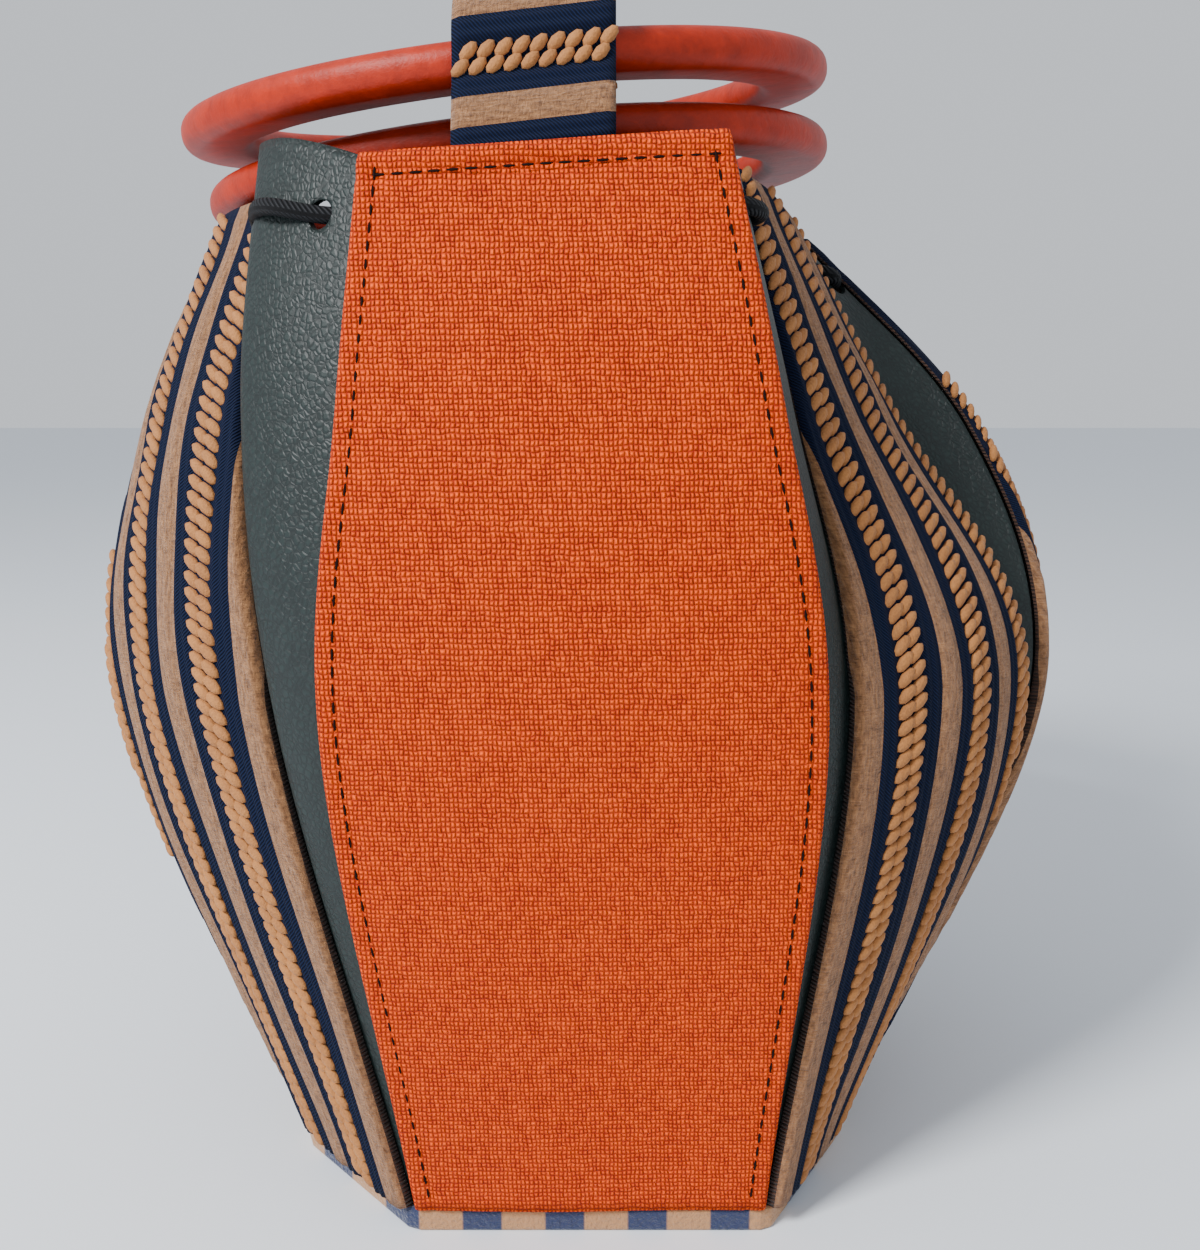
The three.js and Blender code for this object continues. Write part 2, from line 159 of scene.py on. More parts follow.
GUSSETS = [
    # name, rim shares, fold in mm, fold's place, lift, edge before, edge after
    ("front_left", (0.968, 0.981), (0, 2.5, 5, 7), 0.24, 7.5,
     ((-0.35, -0.9), (-0.572, -0.89), (-0.63, -0.74), (-0.6, -0.53)),
     ((-0.333, -0.907), (-0.476, -1.012), (-0.429, -0.988), (-0.39, -0.884))),
    ("front_right", (1, 0.99), (0, 0.5, 1, 1), 0.5, 0,
     ((0.352, -0.907), (0.438, -1.012), (0.347, -0.988), (0.257, -0.884)),
     ((0.369, -0.9), (0.48, -0.907), (0.39, -0.744), (0.286, -0.581))),
    ("right_front", (0.977, 0.954), (0, -3, -4, 1), 0.5, 0,
     ((0.552, -0.535), (0.924, -0.46), (0.66, -0.244), (0.438, -0.093)),
     ((0.571, -0.5), (0.99, -0.36), (0.867, -0.174), (0.5, -0.01))),
    ("right_back", (0.954, 0.954), (0, -2, -3, 1), 0.5, 0,
     ((0.571, 0.14), (0.99, 0.49), (0.857, 0.41), (0.49, 0.43)),
     ((0.56, 0.18), (0.957, 0.57), (0.8, 0.52), (0.45, 0.58))),
    ("back_right", (0.958, 0.958), (0, -1, -2, 2), 0.5, 0,
     ((0.369, 0.48), (0.533, 0.9), (0.46, 0.87), (0.29, 0.75)),
     ((0.352, 0.49), (0.438, 0.977), (0.38, 0.942), (0.21, 0.837))),
    ("back_left", (0.958, 0.958), (0, -1, -2, 2), 0.5, 0,
     ((-0.362, 0.49), (-0.495, 0.977), (-0.47, 0.942), (-0.46, 0.837)),
     ((-0.379, 0.48), (-0.58, 0.9), (-0.57, 0.87), (-0.56, 0.75))),
    ("left_back", (0.956, 0.956), (0, -2, -3, 1), 0.5, 0,
     ((-0.61, 0.18), (-0.98, 0.57), (-0.9, 0.52), (-0.72, 0.6)),
     ((-0.621, 0.14), (-1.02, 0.49), (-0.93, 0.41), (-0.757, 0.45))),
    ("left_front", (0.958, 0.96), (0, -1, -2, 1), 0.5, 0,
     ((-0.621, -0.52), (-1.03, -0.35), (-0.933, -0.22), (-0.762, -0.1)),
     ((-0.61, -0.555), (-1.0, -0.45), (-0.914, -0.38), (-0.757, -0.29))),
]
PANELS = [
    # name, bow in mm at the sections, side nearest an orange panel, cloth cut away on that side
    ("front", (0, 3, 2, 1), None, None),
    ("front_right", (1, 5, 3, 1), "start", (0, 0, 7, 12)),
    ("right", (1, 5, 4, 1), "middle", None),
    ("back_right", (1, 5, 4, 1), "end", (0, 0, 4, 8)),
    ("back", (0, 3, 2, 1), None, None),
    ("back_left", (1, 5, 4, 1), "start", (0, 0, 4, 8)),
    ("left", (1, 5, 4, 1), "middle", None),
    ("front_left", (1, 5, 4, 1), "end", (0, 0, 6, 14)),
]
COUNT = len(GUSSETS)


def spline(values, v):
    """A smooth value through evenly spaced ones, v from 0 to 1."""
    values = np.asarray(values, float)
    place = v * (len(values) - 1)
    i = min(int(place), len(values) - 2)
    t = place - i
    p0, p1, p2, p3 = (values[min(max(i + step, 0), len(values) - 1)] for step in (-1, 0, 1, 2))
    a, b = (p2 - p0) / 2, (p3 - p1) / 2
    return (2 * p1 - 2 * p2 + a + b) * t ** 3 + (-3 * p1 + 3 * p2 - 2 * a - b) * t ** 2 + a * t + p1


def through(points, v, closed=False):
    """A point on a centripetal curve through the points, v from 0 to 1."""
    count = len(points)
    place = v * (count if closed else count - 1)
    i = int(place) % count if closed else min(int(place), count - 2)
    t = place - int(place) if closed else place - i
    if closed:
        p = [points[(i + step) % count] for step in (-1, 0, 1, 2)]
    else:
        p = [points[i - 1] if i else 2 * points[0] - points[1], points[i], points[i + 1],
             points[i + 2] if i + 2 < count else 2 * points[-1] - points[-2]]
    d = [max(np.linalg.norm(p[j + 1] - p[j]), 1e-4) ** 0.5 for j in range(3)]
    a = ((p[1] - p[0]) / d[0] - (p[2] - p[0]) / (d[0] + d[1]) + (p[2] - p[1]) / d[1]) * d[1]
    b = ((p[2] - p[1]) / d[1] - (p[3] - p[1]) / (d[1] + d[2]) + (p[3] - p[2]) / d[2]) * d[1]
    return (2 * p[1] - 2 * p[2] + a + b) * t ** 3 + (-3 * p[1] + 3 * p[2] - 2 * a - b) * t ** 2 + a * t + p[1]


def edge_points(shares, rim):
    """An edge's four places in mm, from its shares and its height as a share of the rim's."""
    return [np.array((x * HALF_WIDTH, y * HALF_DEPTH, foot_z + (RIM_HEIGHT * rim - foot_z) * SECTIONS[i]))
            for i, (x, y) in enumerate(shares)]


EDGES = [(edge_points(row[5], row[1][0]), edge_points(row[6], row[1][1])) for row in GUSSETS]


def outwards(d):
    """The level way out of the bag, square to a way d that walks round it."""
    return np.array((d[1], -d[0])) / math.hypot(d[0], d[1])


class PanelRow:
    """One level line of panel k: where it is, for a share across it and a depth behind its face."""

    def __init__(self, k, v):
        self.start = through(EDGES[k % COUNT][1], v)
        self.end = through(EDGES[(k + 1) % COUNT][0], v)
        room = np.append((self.end - self.start)[:2], 0)
        room *= (0.9 - 1.1 * max(0, 1 - 3 * v)) / np.linalg.norm(room)
        self.start, self.end = self.start + room, self.end - room
        self.chord = (self.end - self.start)[:2]
        self.width = np.linalg.norm(self.chord)
        self.out = outwards(self.chord)
        self.bow = 4 * spline(PANELS[k % COUNT][1], v)

    def outs(self, s):
        s = np.atleast_1d(s)[:, None]
        tangent = self.chord + self.out * self.bow * (1 - 2 * s)
        flat = np.stack([tangent[:, 1], -tangent[:, 0]], 1)
        return flat / np.linalg.norm(flat, axis=1, keepdims=True)

    def at(self, s, depth=0.0):
        s = np.atleast_1d(s)[:, None]
        place = self.start[:2] + s * self.chord + self.out * self.bow * s * (1 - s)
        place = place - self.outs(s[:, 0]) * np.atleast_1d(depth)[:, None]
        return np.column_stack([place, self.start[2] + (self.end[2] - self.start[2]) * s[:, 0]])


def gusset_row(k, v, shares, depth=0.0):
    """Points of gusset k's leather at height v, for shares across it."""
    _, _, fold, at, lift, _, _ = GUSSETS[k % COUNT]
    behind = CLOTH_THICK + SEAM_GAP + depth
    start = PanelRow(k - 1, v).at(1.0, behind)[0]
    end = PanelRow(k, v).at(0.0, behind)[0]
    across = (end - start)[:2]
    width = np.linalg.norm(across)
    margin = min(2 * SEAM_GAP, 0.1 * width)
    shares = np.asarray(shares, float)
    rise = np.where(shares < at, np.sin(np.pi * shares / (2 * at)),
                    np.cos(np.pi * (shares - at) / (2 * (1 - at))))
    place = start[:2] + (margin + (width - 2 * margin) * shares)[:, None] * across / width
    place = place + outwards(across) * (spline(fold, v) * rise)[:, None]
    return np.column_stack([place, start[2] + (end[2] - start[2]) * shares + lift * rise * v ** 2])


print("panels:", [row[0] for row in PANELS])

# %% [markdown]
# A wall of cloth or leather is one closed mesh: an outer grid of points, an inner grid behind it
# and a strip round the rim. The outer grid carries a UV map that counts real millimetres, so a
# weave or a grain keeps its true size however the cloth bends.

# %% Closed walls
UV_UNIT = 100  # millimetres for one unit of the UV map


def link_piece(name, mesh, *materials):
    piece = bpy.data.objects.new(name, mesh)
    bpy.context.collection.objects.link(piece)
    for material in materials:
        mesh.materials.append(material)
    mesh.shade_smooth()
    return piece


def wall(name, outer, inner, uv, materials, kinds=None):
    """A closed wall from grids of points in mm, rows upwards. kinds gives each column's material."""
    rows, columns = outer.shape[:2]
    last, hidden = columns - 1, len(materials) - 1
    kinds = kinds if kinds is not None else [0] * columns
    points = np.concatenate([outer.reshape(-1, 3), inner.reshape(-1, 3)]) * MM
    maps = np.concatenate([uv.reshape(-1, 2)] * 2) / UV_UNIT
    faces, groups = [], []

    def quad(kind, *corners):
        faces.append(corners)
        groups.append(kind)

    def front(r, c):
        return r * columns + c

    def back(r, c):
        return rows * columns + front(r, c)

    for r in range(rows - 1):
        for c in range(columns - 1):
            quad(kinds[c], front(r, c), front(r, c + 1), front(r + 1, c + 1), front(r + 1, c))
            quad(hidden, back(r, c), back(r + 1, c), back(r + 1, c + 1), back(r, c + 1))
        quad(hidden, front(r, 0), front(r + 1, 0), back(r + 1, 0), back(r, 0))
        quad(hidden, front(r, last), back(r, last), back(r + 1, last), front(r + 1, last))
    for c in range(columns - 1):
        top = rows - 1
        quad(kinds[c], front(0, c), back(0, c), back(0, c + 1), front(0, c + 1))
        quad(kinds[c], front(top, c), front(top, c + 1), back(top, c + 1), back(top, c))
    mesh = bpy.data.meshes.new(name)
    mesh.from_pydata(points.tolist(), [], faces)
    layer = mesh.uv_layers.new(name="cloth")
    corner_points = np.zeros(len(mesh.loops), int)
    mesh.loops.foreach_get("vertex_index", corner_points)
    layer.data.foreach_set("uv", maps[corner_points].ravel())
    mesh.polygons.foreach_set("material_index", groups)
    piece = link_piece(name, mesh, *materials)
    weld(piece)
    return piece


def weld(piece, distance=0.01):
    """Merges points that lie together, such as cloth columns that end at a seam."""
    shape = bmesh.new()
    shape.from_mesh(piece.data)
    bmesh.ops.remove_doubles(shape, verts=shape.verts, dist=distance * MM)
    bmesh.ops.dissolve_degenerate(shape, edges=shape.edges, dist=0.5 * distance * MM)
    shape.to_mesh(piece.data)
    shape.free()


# %% [markdown]
# Stitches and braid lobes repeat along a path. One Geometry Nodes tree makes both: it sets a
# small rounded bead on every point, turned to the path and to the cloth's outward side. The
# result is made a plain mesh, because the export drops instances.

# %% Beads along a path
def bead_tree():
    tree = bpy.data.node_groups.new("beads_on_points", "GeometryNodeTree")
    face = tree.interface
    face.new_socket("Points", in_out="INPUT", socket_type="NodeSocketGeometry")
    for label in ("Bead size", "Bead turn"):
        face.new_socket(label, in_out="INPUT", socket_type="NodeSocketVector")
    face.new_socket("Finish", in_out="INPUT", socket_type="NodeSocketMaterial")
    face.new_socket("Beads", in_out="OUTPUT", socket_type="NodeSocketGeometry")
    given = add_node(tree, "NodeGroupInput")
    along = add_node(tree, "GeometryNodeInputNamedAttribute", {"Name": "along"}, data_type="FLOAT_VECTOR")
    out = add_node(tree, "GeometryNodeInputNamedAttribute", {"Name": "out"}, data_type="FLOAT_VECTOR")
    turn = add_node(tree, "FunctionNodeAxesToRotation",
                    {"Primary Axis": out.outputs[0], "Secondary Axis": along.outputs[0]},
                    primary_axis="Z", secondary_axis="X")
    slant = add_node(tree, "FunctionNodeEulerToRotation", {"Euler": given.outputs["Bead turn"]})
    both = add_node(tree, "FunctionNodeRotateRotation",
                    {"Rotation": turn.outputs[0], "Rotate By": slant.outputs[0]}, rotation_space="LOCAL")
    bead = add_node(tree, "GeometryNodeMeshUVSphere", {"Segments": 8, "Rings": 6, "Radius": 0.5})
    sized = add_node(tree, "GeometryNodeTransform", {"Geometry": bead.outputs["Mesh"]})
    tree.links.new(given.outputs["Bead size"], sized.inputs["Scale"])
    copies = add_node(tree, "GeometryNodeInstanceOnPoints", {
        "Points": given.outputs["Points"], "Instance": sized.outputs[0], "Rotation": both.outputs[0]})
    real = add_node(tree, "GeometryNodeRealizeInstances", {"Geometry": copies.outputs[0]})
    soft = add_node(tree, "GeometryNodeSetShadeSmooth", {"Geometry": real.outputs[0]})
    done = add_node(tree, "GeometryNodeSetMaterial",
                    {"Geometry": soft.outputs[0], "Material": given.outputs["Finish"]})
    add_node(tree, "NodeGroupOutput", {"Beads": done.outputs[0]})
    return tree


BEADS = bead_tree()


def beads(name, places, along, out, size, turn, finish):
    """Beads of the size, in mm, at the places, in mm, turned by the angles, in degrees."""
    mesh = bpy.data.meshes.new(name + "_points")
    mesh.from_pydata((np.asarray(places) * MM).tolist(), [], [])
    for label, values in (("along", along), ("out", out)):
        mesh.attributes.new(label, "FLOAT_VECTOR", "POINT").data.foreach_set(
            "vector", np.asarray(values, np.float32).ravel())
    holder = bpy.data.objects.new(name + "_points", mesh)
    bpy.context.collection.objects.link(holder)
    maker = holder.modifiers.new("beads", "NODES")
    sockets = {item.name: item.identifier for item in BEADS.interface.items_tree}
    maker.node_group = BEADS
    maker[sockets["Bead size"]] = [value * MM for value in size]
    maker[sockets["Bead turn"]] = [math.radians(value) for value in turn]
    maker[sockets["Finish"]] = finish
    ready = holder.evaluated_get(bpy.context.evaluated_depsgraph_get())
    result = bpy.data.meshes.new_from_object(ready)
    result.name = name
    bpy.data.objects.remove(holder)
    piece = bpy.data.objects.new(name, result)
    bpy.context.collection.objects.link(piece)
    return piece


def at_marks(marks, length, values):
    """Three-number values along a line, read off at the marks, in mm from its start."""
    return np.column_stack([np.interp(marks, length, values[:, i]) for i in range(3)])


def lengths(points):
    """How far along the line each point lies."""
    return np.concatenate([[0], np.cumsum(np.linalg.norm(np.diff(points, axis=0), axis=1))])


def along_path(points, pitch, start=0.0):
    """Places every pitch mm along a line of points, with the way along it."""
    points = np.asarray(points, float)
    length = lengths(points)
    marks = np.arange(start, length[-1], pitch)
    ways = at_marks(marks + 0.5, length, points) - at_marks(marks - 0.5, length, points)
    ways /= np.maximum(np.linalg.norm(ways, axis=1, keepdims=True), 1e-9)
    return at_marks(marks, length, points), ways, marks, length


# %% [markdown]
# Finishes. Each one starts from the real stuff: dyed cotton in a basket weave, chenille pile,
# mercerised navy cord, jute-coloured braid, drum-dyed pebbled leather and painted turned wood.

# %% Materials
def colour_between(tree, factor, dark, light):
    """A colour between two hex colours."""
    ramp = add_node(tree, "ShaderNodeValToRGB", {"Fac": factor})
    ramp.color_ramp.elements[0].color = srgb(dark)
    ramp.color_ramp.elements[1].color = srgb(light)
    return ramp.outputs["Color"]


def maths(tree, operation, *inputs):
    """One sum in a material, on values or sockets."""
    return add_node(tree, "ShaderNodeMath", dict(enumerate(inputs)), operation=operation).outputs[0]


def millimetres(tree):
    """The cloth's own place, in millimetres across and along it."""
    own = add_node(tree, "ShaderNodeUVMap", uv_map="cloth").outputs[0]
    return add_node(tree, "ShaderNodeVectorMath", {0: own, 1: (UV_UNIT, UV_UNIT, 1)},
                    operation="MULTIPLY").outputs[0]


def object_place(tree):
    """The piece's own place in metres, which stays put when the piece moves."""
    return add_node(tree, "ShaderNodeTexCoord").outputs["Object"]


def noise(tree, place, size_mm, detail=2.0, roughness=0.5):
    """Noise whose grains are about size_mm across, for a place in mm or in metres."""
    return add_node(tree, "ShaderNodeTexNoise", {
        "Vector": place, "Scale": 1 / size_mm, "Detail": detail, "Roughness": roughness}).outputs[0]


def add_bump(tree, shader, height, depth_mm):
    """Raises the surface where height is 1, as if by depth_mm."""
    bump = add_node(tree, "ShaderNodeBump", {"Height": height, "Distance": depth_mm * MM})
    tree.links.new(bump.outputs[0], shader.inputs["Normal"])


def woven(name, dark, light, across_mm, along_mm, sheen):
    """Plain weave: over each crossing either the upright or the level thread lies on top."""
    material, tree, shader = new_material(name, Roughness=0.88, Sheen_Weight=sheen, Sheen_Roughness=0.4,
                                          Specular_IOR_Level=0.2)
    place = millimetres(tree)
    wander = add_node(tree, "ShaderNodeTexNoise", {"Vector": place, "Scale": 0.35, "Detail": 2.0})
    shifted = add_node(tree, "ShaderNodeVectorMath", {0: wander.outputs["Color"], 1: (0.5, 0.5, 0.5)},
                       operation="SUBTRACT")
    moved = add_node(tree, "ShaderNodeVectorMath", {0: shifted.outputs[0], 1: (0.9, 0.9, 0), 2: place},
                     operation="MULTIPLY_ADD")
    parts = add_node(tree, "ShaderNodeSeparateXYZ", {0: moved.outputs[0]})
    x = maths(tree, "DIVIDE", parts.outputs[0], across_mm)
    y = maths(tree, "DIVIDE", parts.outputs[1], along_mm)
    hill_x = maths(tree, "ABSOLUTE", maths(tree, "SINE", maths(tree, "MULTIPLY", x, math.pi)))
    hill_y = maths(tree, "ABSOLUTE", maths(tree, "SINE", maths(tree, "MULTIPLY", y, math.pi)))
    over = maths(tree, "MODULO", maths(tree, "ABSOLUTE", maths(tree, "ADD", maths(tree, "FLOOR", x),
                                                              maths(tree, "FLOOR", y))), 2)
    crown = maths(tree, "POWER", maths(tree, "MULTIPLY", hill_x, hill_y), 0.45)
    across = maths(tree, "MULTIPLY", hill_x, maths(tree, "SUBTRACT", 1, over))
    along = maths(tree, "MULTIPLY", hill_y, over)
    height = maths(tree, "MULTIPLY", crown, maths(tree, "ADD", 0.55, maths(tree, "ADD", across, along)))
    cells = add_node(tree, "ShaderNodeCombineXYZ", {0: maths(tree, "FLOOR", x), 1: maths(tree, "FLOOR", y)})
    yarn = add_node(tree, "ShaderNodeTexWhiteNoise", {"Vector": cells.outputs[0]}).outputs["Value"]
    slub = noise(tree, place, 7.0, 4.0)
    uneven = maths(tree, "ADD", maths(tree, "MULTIPLY", yarn, 0.34), maths(tree, "MULTIPLY", slub, 0.22))
    # The weave's height is in the colour too: crowns lighter, hollows between threads darker, which is
    # painted shade. The yarn and slub noise is the cotton's own uneven tone.
    mixed = maths(tree, "ADD", maths(tree, "MULTIPLY", height, 0.5), uneven)
    tree.links.new(colour_between(tree, maths(tree, "SUBTRACT", mixed, 0.18), dark, light),
                   shader.inputs["Base Color"])
    add_bump(tree, shader, height, 0.45)
    return material


orange_cloth = woven("orange_basket_weave_cotton", "#921400", "#FF5A00", 0.86, 1.0, 0.0)
# The inside faces and cut sides of the panels get a very dark brown cloth, which is painted shade of the
# bag's inside.
inside_shade_cloth = woven("inside_painted_shade_cloth", "#20140F", "#4A342A", 0.8, 0.8, 0.1)


def chenille_pile(name, dark, light):
    """Chenille: short pile whose colour follows the noise that raises it, painted pale where the pile would
    catch light (a painted highlight) and brown where it is brushed down and low (painted shade).
    """
    material, tree, shader = new_material(name, Roughness=0.9, Sheen_Weight=0.2, Sheen_Roughness=0.35,
                                          Specular_IOR_Level=0.2)
    place = millimetres(tree)
    streaks = add_node(tree, "ShaderNodeVectorMath", {0: place, 1: (1.6, 0.35, 1)}, operation="MULTIPLY")
    brushed = noise(tree, streaks.outputs[0], 1.0, 5.0, 0.7)
    tufts = add_node(tree, "ShaderNodeVectorMath", {0: place, 1: (0.7, 2.2, 1)}, operation="MULTIPLY")
    pile = noise(tree, tufts.outputs[0], 1.0, 4.0, 0.7)
    mixed = maths(tree, "ADD", maths(tree, "MULTIPLY", brushed, 1.5), maths(tree, "MULTIPLY", pile, 0.9))
    tree.links.new(colour_between(tree, maths(tree, "SUBTRACT", mixed, 0.75), dark, light),
                   shader.inputs["Base Color"])
    add_bump(tree, shader, maths(tree, "ADD", brushed, pile), 0.9)
    return material


def twisted_cord(name, dark, light, pitch_mm, roughness, slope=1.0, depth=0.3):
    """Cord whose plies run slantwise round it, pitch_mm apart."""
    material, tree, shader = new_material(name, Roughness=roughness, Specular_IOR_Level=0.15)
    parts = add_node(tree, "ShaderNodeSeparateXYZ", {0: millimetres(tree)})
    slant = maths(tree, "ADD", parts.outputs[1], maths(tree, "MULTIPLY", parts.outputs[0], slope))
    plies = maths(tree, "ABSOLUTE", maths(tree, "SINE", maths(tree, "MULTIPLY", slant, math.pi / pitch_mm)))
    # The plies' ridges are painted lighter and the grooves between them darker, which is painted shade.
    tree.links.new(colour_between(tree, plies, dark, light), shader.inputs["Base Color"])
    add_bump(tree, shader, plies, depth)
    return material


chenille = chenille_pile("brown_chenille_pile", "#3E1C0C", "#CC9464")
navy_cord = twisted_cord("navy_mercerised_cord", "#020512", "#0A1734", 0.7, 0.8)
black_cord = twisted_cord("black_braided_cord", "#050506", "#1C1D20", 1.1, 0.6)


def braid_yarn():
    """Soft-spun tan yarn: fine fibres, and broader patches that are paler or darker."""
    material, tree, shader = new_material("tan_spun_braid_yarn", Roughness=0.8, Sheen_Weight=0.05)
    place = object_place(tree)
    fibres = noise(tree, place, 0.5 * MM, 3.0)
    patches = noise(tree, place, 9 * MM, 2.0)
    mixed = maths(tree, "ADD", maths(tree, "MULTIPLY", fibres, 0.6), maths(tree, "MULTIPLY", patches, 0.5))
    tree.links.new(colour_between(tree, mixed, "#5E3214", "#C07F40"), shader.inputs["Base Color"])
    add_bump(tree, shader, fibres, 0.25)
    return material


braid_tan = braid_yarn()


def pebbled_leather():
    """Drum-dyed leather: rounded pebbles about 1.3 mm across, with fine creases between them."""
    material, tree, shader = new_material("dark_green_pebbled_leather", Roughness=0.5,
                                          Specular_IOR_Level=0.35)
    place = millimetres(tree)
    bent = add_node(tree, "ShaderNodeTexNoise", {"Vector": place, "Scale": 0.6, "Detail": 2.0})
    warped = add_node(tree, "ShaderNodeVectorMath", {0: bent.outputs["Color"], 1: (0.9, 0.9, 0), 2: place},
                      operation="MULTIPLY_ADD")
    pebbles = add_node(tree, "ShaderNodeTexVoronoi", {"Vector": warped.outputs[0], "Scale": 1 / 1.3},
                       feature="DISTANCE_TO_EDGE").outputs["Distance"]
    dome = add_node(tree, "ShaderNodeMapRange", {"Value": pebbles, "From Max": 0.28}).outputs[0]
    creases = noise(tree, place, 5.0, 4.0, 0.6)
    height = maths(tree, "ADD", dome, maths(tree, "MULTIPLY", creases, 1.2))
    # Pebble domes are painted lighter and the creases between them darker, which is painted shade; the broad
    # crease noise adds a random tone.
    relief_shade_and_tone = maths(tree, "ADD", maths(tree, "MULTIPLY", dome, 0.45), maths(tree, "MULTIPLY", creases, 0.5))
    tree.links.new(colour_between(tree, relief_shade_and_tone, "#070D0D", "#1A2826"), shader.inputs["Base Color"])
    add_bump(tree, shader, height, 0.1)
    return material


green_leather = pebbled_leather()


def painted_wood():
    """Turned wood under satin paint: broad cloudy grain, and small worn scuffs that are darker."""
    material, tree, shader = new_material("orange_red_painted_turned_wood", Roughness=0.45,
                                          Specular_IOR_Level=0.25)
    place = object_place(tree)
    grain = noise(tree, place, 6 * MM, 6.0, 0.65)
    scuffs = noise(tree, place, 1.4 * MM, 5.0, 0.7)
    mixed = maths(tree, "ADD", maths(tree, "MULTIPLY", grain, 0.9), maths(tree, "MULTIPLY", scuffs, 0.35))
    tree.links.new(colour_between(tree, maths(tree, "SUBTRACT", mixed, 0.12), "#5A0C00", "#C42C02"),
                   shader.inputs["Base Color"])
    add_bump(tree, shader, maths(tree, "ADD", grain, maths(tree, "MULTIPLY", scuffs, 0.5)), 0.25)
    return material


ring_paint = painted_wood()
dark_thread, _, _ = new_material("dark_waxed_thread", Base_Color=srgb("#180806"), Roughness=0.8,
                                 Specular_IOR_Level=0.1)
print("finishes:", len(bpy.data.materials))

# %% [markdown]
# The two orange panels are basket weave, turned in at the sides and hemmed at the top. A dark
# topstitch runs about 3.6 mm inside the edges, and the cloth dips a little under it. The panel is
# a fine grid, so the rolled edges, the hem and one soft crease are real shape.

# %% Orange panels
ORANGE_PANELS = (0, 4)
STITCH_INSET = 3.6
STITCH_PITCH = 3.3
STITCH_SIZE = (2.5, 0.55, 0.45)
STITCH_BURIED = (0.15, 0.25)  # below the face, at the sides and at the hem
EDGE_ROLL = 1.3
HEM = 4.2
# each is its height or depth and its reach, in mm
SIDE_DIP = (0.35, 0.7)
HEM_DIP = (0.45, 0.8)
HEM_SWELL = (0.5, 1.6)
CREASE = (1.1, 1.5)
CREASE_MIDDLE, CREASE_SPREAD = 0.45, 0.16  # shares across the panel
SLACK = 0.5
CLOSE_TO_EDGE = (0, 0.004, 0.009, 0.014)
# millimetres of height for each 1 of v, near the top
TOP_RISE = (EDGES[0][0][-1][2] - foot_z) * (SECTIONS[3] - SECTIONS[2]) * (len(SECTIONS) - 1)
levels = np.linspace(0, 1, 121)


def rolled(distance):
    """How far an edge's cloth turns back, for a distance in mm from the edge."""
    inside = np.clip(1 - distance / EDGE_ROLL, 0, 1)
    return EDGE_ROLL * (1 - np.sqrt(1 - np.minimum(inside, 0.999) ** 2))


def ridge(size, distance, middle):
    """A rounded ridge of a height and a reach, along the line where distance is middle."""
    height, reach = size
    return height * np.exp(-((distance - middle) / reach) ** 2)


def finish_piece(piece, node):
    """Parents the piece to the root body, and hides the solid it stands for, if any."""
    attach(piece, "root")
    if node:
        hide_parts(node)
    return piece


def orange_panel(k):
    name = PANELS[k][0]
    far = [1 - share for share in reversed(CLOSE_TO_EDGE)]
    shares = np.concatenate([CLOSE_TO_EDGE, np.linspace(0.02, 0.98, 57), far])
    outer, inner, uv = [], [], []
    for v in levels:
        row = PanelRow(k, v)
        from_side = np.minimum(shares, 1 - shares) * row.width
        from_top = (1 - v) * TOP_RISE
        dip = ridge(SIDE_DIP, from_side, STITCH_INSET) + ridge(HEM_DIP, from_top, HEM)
        swell = ridge(HEM_SWELL, from_top, HEM / 2)
        crease = ridge(CREASE, from_top, HEM) * ridge((1, CREASE_SPREAD), shares, CREASE_MIDDLE)
        slack = SLACK * np.sin(9 * v + 5 * shares) * np.sin(np.pi * shares)
        depth = rolled(from_side) + dip - swell + crease - slack + rolled(from_top + 0.2)
        outer.append(row.at(shares, depth))
        inner.append(row.at(shares, np.full(len(shares), CLOTH_THICK)))
        uv.append(np.column_stack([(shares - 0.5) * row.width, outer[-1][:, 2]]))
    piece = wall(f"cloth_{name}", np.array(outer), np.array(inner), np.array(uv),
                 [orange_cloth, inside_shade_cloth])
    finish_piece(piece, f"panel_{name}")


def on_face(row, share, depth):
    """A point of a panel's row and its outward way."""
    return row.at(share, depth)[0], np.append(row.outs(share)[0], 0)


def seam_stitches(k):
    """Dark stitches down both sides of panel k and along its hem."""
    name = PANELS[k][0]
    at_side, at_hem = STITCH_BURIED
    lines = []
    for side in (0, 1):
        rows = [PanelRow(k, v) for v in np.linspace(0.01, 0.985, 100)]
        lines.append([on_face(row, abs(side - STITCH_INSET / row.width), at_side) for row in rows])
    hem = PanelRow(k, 1 - HEM / TOP_RISE)
    lines.append([on_face(hem, share, at_hem) for share in np.linspace(0.05, 0.95, 40)])
    places, ways, outs = [], [], []
    for line in lines:
        points, normals = (np.array(column) for column in zip(*line))
        spots, along, marks, length = along_path(points, STITCH_PITCH, 1.0)
        places.append(spots)
        ways.append(along)
        outs.append(at_marks(marks, length, normals))
    piece = beads(f"topstitch_{name}", np.concatenate(places), np.concatenate(ways),
                  np.concatenate(outs), STITCH_SIZE, (0, 0, 0), dark_thread)
    finish_piece(piece, None)


for k in ORANGE_PANELS:
    orange_panel(k)
    seam_stitches(k)
print("orange panels:", [PANELS[k][0] for k in ORANGE_PANELS])

# %% [markdown]
# The striped cloth is upholstery stuff. Its stripes run straight along the cloth and the panel's
# edges cut across them: a chenille band, two navy cords, a braid, two navy cords, and again.
# The panel's face is a relief whose columns stand at fixed places in the cloth, so a stripe that
# meets a curved edge is cut there. The braids are lobes set along their own two lines.

